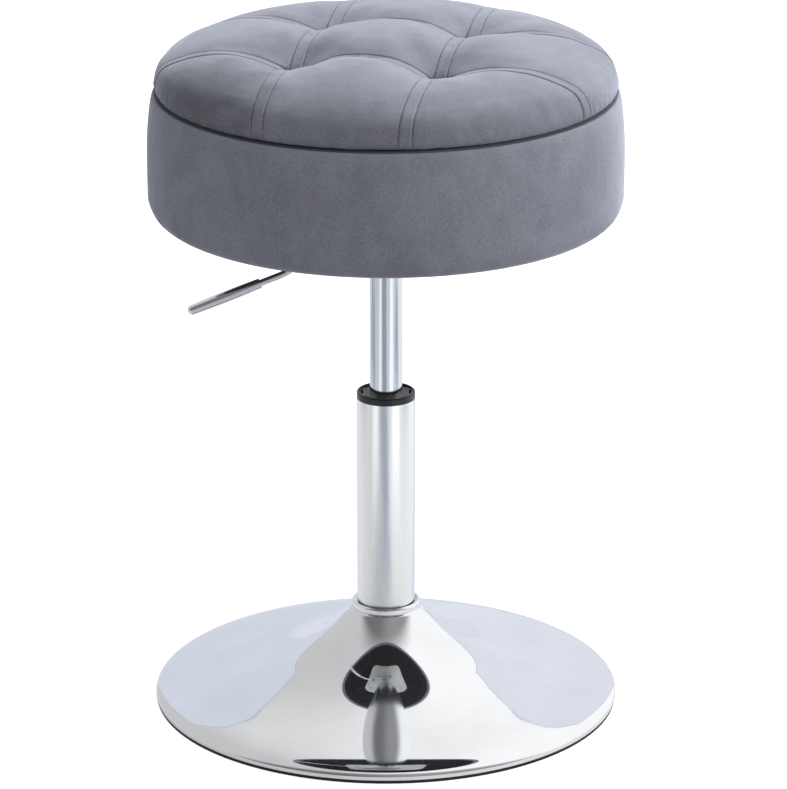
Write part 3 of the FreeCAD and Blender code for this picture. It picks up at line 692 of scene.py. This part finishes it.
def seam_point(along, offset, family, z):
    """Point in metres. Seams of family 0 run along U, and those of family 1 along V."""
    u, v = (along, offset) if family == 0 else (offset, along)
    x, y = turned_by(SEAM_ANGLE, u, v)
    return Vector((SEAM_CENTRE[0] + x, SEAM_CENTRE[1] + y, z)) * MM


def seam_path(tree, offset, family):
    """Points on the lid where the plane at an offset cuts it, from hem to hem, with the outward normal."""
    path = []
    centre = seam_point(0.0, offset, family, SEAM_RAY_Z)
    for i in range(SEAM_RAYS + 1):
        turn = math.pi * i / SEAM_RAYS
        z = SEAM_RAY_Z + SEAM_RAY_REACH * math.sin(turn)
        start = seam_point(SEAM_RAY_REACH * math.cos(turn), offset, family, z)
        place, normal, _, _ = tree.ray_cast(start, (centre - start).normalized())
        if place is not None and place.z > (LID_LOW + 3) * MM:
            path.append((place, normal))
    return path


# Place along half a stitch, width and lift of each ring, as shares of its length and the thread's radius
STITCH_RINGS = ((0.2, 1.0, 0.3), (0.42, 0.8, -0.1), (0.5, 0.15, -0.55))


def stitches(name, paths, spacing=STITCH_PITCH, span=STITCH_LENGTH):
    """One mesh of short sewn threads along the paths."""
    sides = 6
    points = []
    faces = []
    rings = [(-where, width, lift) for where, width, lift in reversed(STITCH_RINGS)] + list(STITCH_RINGS)
    for path in paths:
        run = [0.0]
        for (a, _), (b, _) in zip(path, path[1:]):
            run.append(run[-1] + (b - a).length / MM)
        run = np.array(run)
        place = np.array([p for p, _ in path]) / MM
        facing = np.array([n for _, n in path])
        count = int(run[-1] / spacing)
        for k in range(count):
            mid = (k + 0.5) * spacing
            at = np.array([np.interp(mid, run, place[:, i]) for i in range(3)])
            ahead = np.array([np.interp(mid + 1, run, place[:, i]) for i in range(3)])
            behind = np.array([np.interp(mid - 1, run, place[:, i]) for i in range(3)])
            up = np.array([np.interp(mid, run, facing[:, i]) for i in range(3)])
            along = ahead - behind
            along /= max(np.linalg.norm(along), 1e-9)
            up -= along * (up @ along)
            up /= max(np.linalg.norm(up), 1e-9)
            side = np.cross(along, up)
            first = len(points)
            for where, width, lift in rings:
                for j in range(sides):
                    turn = 2 * math.pi * j / sides
                    points.append(at + along * (where * span)
                                  + side * (THREAD_RADIUS * width * math.cos(turn))
                                  + up * (THREAD_RADIUS * (width * math.sin(turn) + lift)))
            for r in range(len(rings) - 1):
                for j in range(sides):
                    n = (j + 1) % sides
                    faces.append([first + r * sides + j, first + r * sides + n,
                                  first + (r + 1) * sides + n, first + (r + 1) * sides + j])
            faces.append([first + j for j in range(sides)])
            faces.append([first + (len(rings) - 1) * sides + j for j in range(sides)])
    return mesh_object(name, points, faces)


lid_tree = BVHTree.FromObject(lid, bpy.context.evaluated_depsgraph_get())
seam_paths = [seam_path(lid_tree, centre + side * STITCH_OFFSET, family)
              for family in (0, 1) for centre in (-SEAM_OFFSET, SEAM_OFFSET) for side in (-1, 1)]
lid_thread = stitches("lid_stitching", seam_paths)
lid_thread.data.materials.append(paints["thread"])
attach(lid_thread, "lid")


def tube(path, radius, sides, points, faces, looped=False):
    """Adds a thin tube along a path of vectors."""
    first = len(points)
    rings = len(path)
    for i, place in enumerate(path):
        before, after = path[max(i - 1, 0)], path[min(i + 1, rings - 1)]
        if looped:
            before, after = path[i - 1], path[(i + 1) % rings]
        turn = (after - before).to_track_quat("Z", "Y")
        for j in range(sides):
            angle = 2 * math.pi * j / sides
            spoke = Vector((radius * math.cos(angle), radius * math.sin(angle), 0))
            points.append(tuple(place + turn @ spoke))
    for i in range(rings if looped else rings - 1):
        a, b = first + i * sides, first + (i + 1) % rings * sides
        faces += [[a + j, a + (j + 1) % sides, b + (j + 1) % sides, b + j] for j in range(sides)]
    if not looped:
        last = first + (rings - 1) * sides
        faces += [[first + j for j in reversed(range(sides))], [last + j for j in range(sides)]]


def tie_strand(hole, tuft, root, strand):
    """Path of one strand of the twine, from the hole in the lid's board to the tuft's root."""
    path = []
    for i in range(TIE_STEPS + 1):
        z = TIE_LOW + (root - TIE_LOW) * i / TIE_STEPS
        turn = 2 * math.pi * ((z - TIE_LOW) / TIE_LAY + strand / TIE_STRANDS)
        middle = hole.lerp(tuft, float(smooth_step(z, TIE_BEND, root)))
        path.append(middle + Vector((STRAND_OFFSET * math.cos(turn), STRAND_OFFSET * math.sin(turn), z)))
    return path


def tie_knot(hole):
    """Path of a trefoil knot round the hole."""
    path = []
    for i in range(TIE_STEPS):
        t = 2 * math.pi * i / TIE_STEPS
        path.append(hole + Vector((KNOT_SCALE * (math.sin(t) + 2 * math.sin(2 * t)),
                                   KNOT_SCALE * (math.cos(t) - 2 * math.cos(2 * t)),
                                   KNOT_Z - KNOT_RISE * math.sin(3 * t))))
    return path


def make_ties(tree):
    """Laid twine from a knot under the lid's board up to the root of each tuft."""
    points, faces = [], []
    for side_u in (-1, 1):
        for side_v in (-1, 1):
            hole = Vector((*turned_by(TIE_ANGLE, side_u * TIE_OFFSET, side_v * TIE_OFFSET), 0))
            above = seam_point(side_u * SEAM_OFFSET, side_v * SEAM_OFFSET, 0, SEAM_RAY_Z + SEAM_RAY_REACH)
            root = tree.ray_cast(above, Vector((0, 0, -1)))[0].z / MM - TIE_COVERED
            tuft = Vector((above.x, above.y, 0)) / MM
            for strand in range(TIE_STRANDS):
                tube(tie_strand(hole, tuft, root, strand), STRAND_RADIUS, STRAND_SIDES, points, faces)
            tube(tie_knot(hole), STRAND_RADIUS, STRAND_SIDES, points, faces, looped=True)
    return mesh_object("tuft_twine", points, faces)


dress(make_ties(lid_tree), "lid", "twine", "tuft_ties")


# Drum


def drum_profile(swell):
    """Closed outline of the drum's padded cloth, counter-clockwise from its widest place."""
    belly = (DRUM_RADIUS - swell, BELLY_Z)
    upper, heading = arc(belly, math.pi / 2, DRUM_SHOULDER, 14)
    roll = level_arc(DRUM_SHOULDER, heading, DRUM_EDGE_TOP - DRUM_SHOULDER[1], 5)
    lower, heading = arc(belly, -math.pi / 2, DRUM_FOOT, 10)
    edge = level_arc(DRUM_FOOT, heading, DRUM_LOW - DRUM_FOOT[1], 12)
    points = [belly] + upper + roll
    points += line(points[-1], (LAP_RADIUS + 1.2, DRUM_EDGE_TOP), 4)
    points += [(LAP_RADIUS, DRUM_TOP - 0.2), (COVER_BORE + 0.7, DRUM_TOP)]
    points += [(COVER_BORE, DRUM_TOP - 0.8)]
    points += line(points[-1], (COVER_BORE, COVER_HEM_LOW), 5)
    points += [(LAP_RADIUS, COVER_HEM_LOW)]
    points += line(points[-1], (LAP_RADIUS, HOOP_TOP), 5)
    points += line(points[-1], (HOOP_RADIUS, HOOP_TOP), 3)
    points += line(points[-1], (HOOP_RADIUS, DRUM_FOOT[1]), 8)
    points += DRUM_INNER_EDGE
    points += line(points[-1], (COVER_HEM_RADIUS, BOARD_LOW), 4)
    points += [(COVER_HEM_RADIUS, DRUM_LOW)]
    points += line(points[-1], edge[-1], 5)
    points += list(reversed(lower + edge[:-1]))
    return points


def make_drum():
    drum = turned("drum_upholstery", drum_profile(DRUM_SWELL), 288)
    co = coords(drum.data)
    out = np.hypot(co[:, 0], co[:, 1])
    wall = smooth_step(out, HOOP_RADIUS + 0.6, HOOP_RADIUS + 2.5)
    ends = np.maximum(1 - smooth_step(co[:, 2], DRUM_LOW + 6, DRUM_LOW + 22),
                      smooth_step(co[:, 2], DRUM_TOP - 8, DRUM_TOP - 2))
    puff(drum, np.maximum(1 - wall, ends), pressure=2.0, spare=0.004, cap=1.6, rounds=2)
    co = coords(drum.data)
    out = np.hypot(co[:, 0], co[:, 1])
    low = 1 - smooth_step(co[:, 2], DRUM_LOW + 12, DRUM_LOW + 60)
    broad = np.array([rough(p, size=60, seed=3.1) for p in co])
    upright = np.array([rough((x, y, z * 0.3), size=26, seed=7.7) for x, y, z in co])
    ripple = RIPPLE_BROAD * broad + RIPPLE_UPRIGHT * low * upright
    co[:, :2] *= (1 + ripple * wall / np.maximum(out, 1))[:, None]
    set_coords(drum.data, co)
    return drum


drum = make_drum()
dress(drum, "seat", "velvet", "drum_cover")


# Base


def trumpet_z(radius):
    """Height of the trumpet's outer face: an exponential horn with a steep neck and a rolled rim."""
    share = (radius - NECK_RADIUS) / (BASE_RADIUS - NECK_RADIUS)
    drop = NECK_HEIGHT - NECK_LIP_DROP - NECK_RISE - BASE_EDGE_TOP - RIM_ROLL
    far_end = math.exp(-FLARE_RATE)
    horn = (math.exp(-FLARE_RATE * share) - far_end) / (1 - far_end)
    neck = NECK_RISE * math.exp((NECK_RADIUS - radius) / NECK_REACH)
    return BASE_EDGE_TOP + drop * horn + neck + RIM_ROLL * math.sqrt(max(0.0, 1 - share ** RIM_POWER))


def make_trumpet():
    """The trumpet with an even, fine surface, so that what it mirrors runs smoothly."""
    steps = 160
    outer = []
    for i in range(steps + 1):
        radius = NECK_RADIUS + (BASE_RADIUS - NECK_RADIUS) * (1 - math.cos(math.pi * i / steps)) / 2
        outer.append((radius, trumpet_z(radius)))
    inner = []
    for i, (radius, height) in enumerate(outer):
        before, after = outer[max(i - 1, 0)], outer[min(i + 1, steps)]
        across, down = after[0] - before[0], after[1] - before[1]
        if i == steps:
            across, down = 0.0, -1.0
        length = math.hypot(across, down)
        inner.append((radius + BASE_SHEET * down / length, height - BASE_SHEET * across / length))
    lip = arc((NECK_FLAT, NECK_HEIGHT), 0.0, outer[0], 8)[0]
    profile = [(NECK_FLAT, NECK_HEIGHT)] + lip + outer[1:]
    profile += [(BASE_RADIUS, BASE_EDGE_LOW), (BASE_RADIUS - BASE_SHEET, BASE_EDGE_LOW)] + inner[::-1]
    profile += [(NECK_BORE, NECK_HEIGHT - NECK_LIP_DROP), (NECK_BORE, NECK_HEIGHT)]
    trumpet = turned("trumpet_shell", profile, 360)
    trumpet.data.set_sharp_from_angle(angle=math.radians(40))
    return trumpet


dress(make_trumpet(), "base", "chrome", "trumpet_base")


# Linings


def ruffled(obj, depth, size, seed, keep=None):
    """Gives a cloth's flat face the small unevenness of laid cloth."""
    co = coords(obj.data)
    lift = np.array([rough(p, size, seed) for p in co]) * depth
    if keep is not None:
        lift *= keep(co)
    co[:, 2] += lift
    set_coords(obj.data, co)


def disc_profile(radius, low, high, rings):
    """Thin round cloth with a rounded edge."""
    under = [(radius * i / rings, low) for i in range(rings + 1)]
    over = [(radius * i / rings, high) for i in range(rings, -1, -1)]
    return under + [(radius + 0.2, (low + high) / 2)] + over


def dust_profile():
    """Thin cloth that is flat under the board and laps over the hem of the drum's cover."""
    flat = np.linspace(0, DUST_FLAT_RADIUS, 30)
    edge = DUST_RADIUS - 0.2
    under = [(r, DUST_FLAT_LEVELS[0]) for r in flat] + [DUST_STEP_LOW]
    under += line((DUST_LAP_RADIUS, DUST_LAP_LEVELS[0]), (edge, DUST_LAP_LEVELS[0]), 8)
    over = line((edge, DUST_LAP_LEVELS[1]), (DUST_LAP_RADIUS, DUST_LAP_LEVELS[1]), 8) + [DUST_STEP_TOP]
    over += [(r, DUST_FLAT_LEVELS[1]) for r in flat[::-1]]
    return under + [(DUST_RADIUS, sum(DUST_LAP_LEVELS) / 2)] + over


lid_lining = turned("lid_lining_cloth", disc_profile(LINING_RADIUS, *LINING_LEVELS, 40), 120, closed=False)
ruffled(lid_lining, 0.12, 35, 1.3)
dress(lid_lining, "lid", "grey_lining", "lid_lining")

floor_profile = disc_profile(STORAGE_RADIUS, *STORAGE_LEVELS, 40)
floor_cloth = turned("storage_floor_cloth", floor_profile, 120, closed=False)
ruffled(floor_cloth, 0.1, 40, 5.2, lambda co: (co[:, 2] > sum(STORAGE_LEVELS) / 2).astype(float))
dress(floor_cloth, "seat", "grey_lining", "storage_lining")

wall_in, wall_out = WALL_CLOTH_RADII
wall_profile = line((wall_out, STORAGE_LEVELS[0]), (wall_out, WALL_CLOTH_TOP), 12)
wall_profile += [((wall_in + wall_out) / 2, WALL_CLOTH_TOP + 0.1)]
wall_profile += line((wall_in, WALL_CLOTH_TOP), (wall_in, WALL_CLOTH_LOW), 12)
wall_cloth = turned("storage_wall_cloth", wall_profile, 180)
dress(wall_cloth, "seat", "grey_lining", "storage_lining")

dust_cloth = turned("dust_cloth", dust_profile(), 180, closed=False)
dress(dust_cloth, "seat", "black_cloth", "dust_cover")


# Studio

FLOOR_REACH = 9000
FLOOR_SEEN = 0.85
FLOOR_MIRRORED = 0.28
SKY_LOW = 0.38
SKY_HIGH = 0.74
WALL_BLUE = (0.70, 0.735, 0.83)
WALL_PALE = (0.80, 0.83, 0.915)
WALL_MEAN = (0.75, 0.783, 0.873)
WALL_SIZE = (1620, 2480)
WALL_HALF = ((0, 0), (1620, 0), (1620, 2480), (1100, 2440), (850, 2300), (680, 2150), (500, 2080), (0, 2000))
EDGE_BLUE = (0.40, 0.43, 0.52)

camera = bpy.data.cameras.new("camera")
camera.sensor_width = 36
camera.lens = 203.72
camera.shift_x = 0.0095
camera.clip_end = 60
eye = bpy.data.objects.new("camera", camera)
eye.location = (0, -3.600, 1.5154)
eye.rotation_euler = (math.radians(70.963), 0, 0)
scene.collection.objects.link(eye)
scene.camera = eye
scene.view_settings.view_transform = "Standard"


class Light:
    """Node tree of a stage material or the world that glows by itself."""

    def __init__(self, owner, output):
        owner.use_nodes = True
        self.tree = owner.node_tree
        self.tree.nodes.clear()
        self.out = self.tree.nodes.new(output)
        self.path = self.tree.nodes.new("ShaderNodeLightPath").outputs

    def add(self, kind, **sockets):
        node = self.tree.nodes.new(kind)
        for name, value in sockets.items():
            node.inputs[name.replace("_", " ")].default_value = value
        return node

    def join(self, out, socket):
        self.tree.links.new(out, socket)

    def math(self, operation, first, second):
        """Result of a maths node on two values, each a float or a socket."""
        node = self.tree.nodes.new("ShaderNodeMath")
        node.operation = operation
        for value, socket in zip((first, second), node.inputs):
            if isinstance(value, float):
                socket.default_value = value
            else:
                self.join(value, socket)
        return node.outputs[0]

    def ease(self, value, start, end, low, high):
        node = self.add("ShaderNodeMapRange", From_Min=start, From_Max=end, To_Min=low, To_Max=high)
        node.interpolation_type = "SMOOTHSTEP"
        self.join(value, node.inputs["Value"])
        return node.outputs["Result"]

    def split(self, coordinate):
        place = self.tree.nodes.new("ShaderNodeTexCoord")
        node = self.tree.nodes.new("ShaderNodeSeparateXYZ")
        self.join(place.outputs[coordinate], node.inputs[0])
        return node.outputs


def panel(name, size, place, turn, colour, strength, soft=0.0, flare=1.0, outline=None):
    """Studio card that only metal sees, fading out over a soft share of its width and height.

    Its far end is wider by flare, unless it has an outline of its own.
    """
    wide, tall = size[0] / 2, size[1] / 2
    far = wide * flare
    outline = outline or [(-wide, -tall), (wide, -tall), (far, tall), (-far, tall)]
    board = mesh_object(name, [(x, y, 0) for x, y in outline], [list(range(len(outline)))], False)
    board.location = place
    board.rotation_euler = [math.radians(a) for a in turn]
    skin = bpy.data.materials.new(name)
    light = Light(skin, "ShaderNodeOutputMaterial")
    glow = light.add("ShaderNodeEmission", Color=(*colour, 1), Strength=strength)
    surface = glow.outputs[0]
    if soft:
        across = light.split("Object")
        reach = light.add("ShaderNodeMapRange", From_Min=-tall * MM, From_Max=tall * MM,
                          To_Min=wide * MM, To_Max=far * MM)
        light.join(across["Y"], reach.inputs["Value"])
        near_x = light.math("DIVIDE", light.math("ABSOLUTE", across["X"], 0.0), reach.outputs["Result"])
        near_y = light.math("ABSOLUTE", across["Y"], 0.0)
        fade = light.math("MULTIPLY", light.ease(near_x, 1 - soft, 1.0, 1, 0),
                          light.ease(near_y, tall * MM * (1 - soft), tall * MM, 1, 0))
        clear = light.add("ShaderNodeBsdfTransparent")
        mix = light.add("ShaderNodeMixShader")
        light.join(fade, mix.inputs[0])
        light.join(clear.outputs[0], mix.inputs[1])
        light.join(surface, mix.inputs[2])
        surface = mix.outputs[0]
    light.join(surface, light.out.inputs["Surface"])
    board.data.materials.append(skin)
    board.visible_camera = False
    board.visible_diffuse = False
    board.visible_shadow = False


def floor():
    """Plain pale floor that keeps the stool's shadow and shows near white."""
    corners = [(x * FLOOR_REACH, y * FLOOR_REACH, 0) for x, y in ((-1, -1), (1, -1), (1, 1), (-1, 1))]
    board = mesh_object("floor", corners, [[0, 1, 2, 3]], False)
    board.location.z = -0.0002
    skin = bpy.data.materials.new("floor")
    light = Light(skin, "ShaderNodeOutputMaterial")
    matt = light.add("ShaderNodeBsdfDiffuse", Color=(0.42, 0.42, 0.43, 1))
    glow = light.add("ShaderNodeEmission")
    level = light.math("ADD", light.math("MULTIPLY", light.path["Is Camera Ray"], FLOOR_SEEN),
                       light.math("MULTIPLY", light.path["Is Glossy Ray"], FLOOR_MIRRORED))
    light.join(level, glow.inputs["Strength"])
    both = light.add("ShaderNodeAddShader")
    light.join(matt.outputs[0], both.inputs[0])
    light.join(glow.outputs[0], both.inputs[1])
    light.join(both.outputs[0], light.out.inputs["Surface"])
    board.data.materials.append(skin)


def world():
    """Soft studio, brighter overhead. Metal sees it dim in front and bright at the right."""
    sky = bpy.data.worlds.new("studio")
    scene.world = sky
    light = Light(sky, "ShaderNodeOutputWorld")
    way = light.split("Generated")
    lamp_level = light.math("MULTIPLY", light.ease(way["Z"], -0.1, 1.0, SKY_LOW, SKY_HIGH),
                            light.ease(way["X"], -0.9, 0.9, 0.72, 1.2))
    lit = light.add("ShaderNodeBackground", Color=(1, 1, 1, 1))
    light.join(lamp_level, lit.inputs["Strength"])
    sides = light.ease(way["X"], -0.35, 0.25, 0.62, 1.08)
    front = light.ease(way["Y"], -0.48, -0.04, 0.30, 1.0)
    mirrored = light.add("ShaderNodeBackground", Color=(1, 1, 1, 1))
    light.join(light.math("MULTIPLY", sides, front), mirrored.inputs["Strength"])
    white = light.add("ShaderNodeBackground", Color=(1, 1, 1, 1), Strength=1.0)
    metal_sees = light.add("ShaderNodeMixShader")
    light.join(light.path["Is Glossy Ray"], metal_sees.inputs[0])
    light.join(lit.outputs[0], metal_sees.inputs[1])
    light.join(mirrored.outputs[0], metal_sees.inputs[2])
    camera_sees = light.add("ShaderNodeMixShader")
    light.join(light.path["Is Camera Ray"], camera_sees.inputs[0])
    light.join(metal_sees.outputs[0], camera_sees.inputs[1])
    light.join(white.outputs[0], camera_sees.inputs[2])
    light.join(camera_sees.outputs[0], light.out.inputs["Surface"])


def lamp(name, power, size, place, aim):
    data = bpy.data.lights.new(name, "AREA")
    data.energy = power
    data.shape = "RECTANGLE"
    data.size, data.size_y = size
    obj = bpy.data.objects.new(name, data)
    obj.location = place
    obj.rotation_euler = (Vector(aim) - Vector(place)).to_track_quat("-Z", "Y").to_euler()
    obj.visible_glossy = False
    scene.collection.objects.link(obj)


floor()
world()
lamp("key", 92, (2.0, 2.0), (1.2, 1.5, 2.3), (0, 0, 0.5))
lamp("side", 24, (1.0, 1.6), (2.6, -0.2, 1.2), (0, 0, 0.45))
for name, side, colour in (("left", -1, WALL_BLUE), ("right", 1, WALL_PALE)):
    panel("back_card_" + name, WALL_SIZE, (0, 3.0, 0), (90, 0, 0), colour, 1.0,
          outline=[(side * x, y) for x, y in WALL_HALF])
    panel("back_edge_" + name, WALL_SIZE, (0, 3.01, 0), (90, 0, 0), EDGE_BLUE, 1.0,
          outline=[(side * x * 1.014, y * 1.012) for x, y in WALL_HALF])
panel("back_floor", (440, 2900), (0, 1.55, -0.0001), (0, 0, 0), WALL_MEAN, 1.0, flare=7.3)
panel("side_left", (520, 900), (-1.0, 0.2, 0.002), (0, 0, 0), (0.40, 0.45, 0.50), 1.0, 0.5)
panel("side_right", (520, 700), (1.0, -0.2, 0.002), (0, 0, 0), (0.44, 0.49, 0.54), 1.0, 0.5)
panel("front_card", (1000, 1700), (-0.22, -0.95, 0.002), (0, 0, -14), (0.36, 0.40, 0.47), 1.0, 0.4, flare=0.4)
for name, side, bright in (("floor_left", -1, 1.12), ("floor_right", 1, 1.32)):
    panel(name, (520, 1900), (side * 0.80, -1.00, 0.002), (0, 0, side * 40), (1.0, 1.0, 1.0), bright, 0.5)
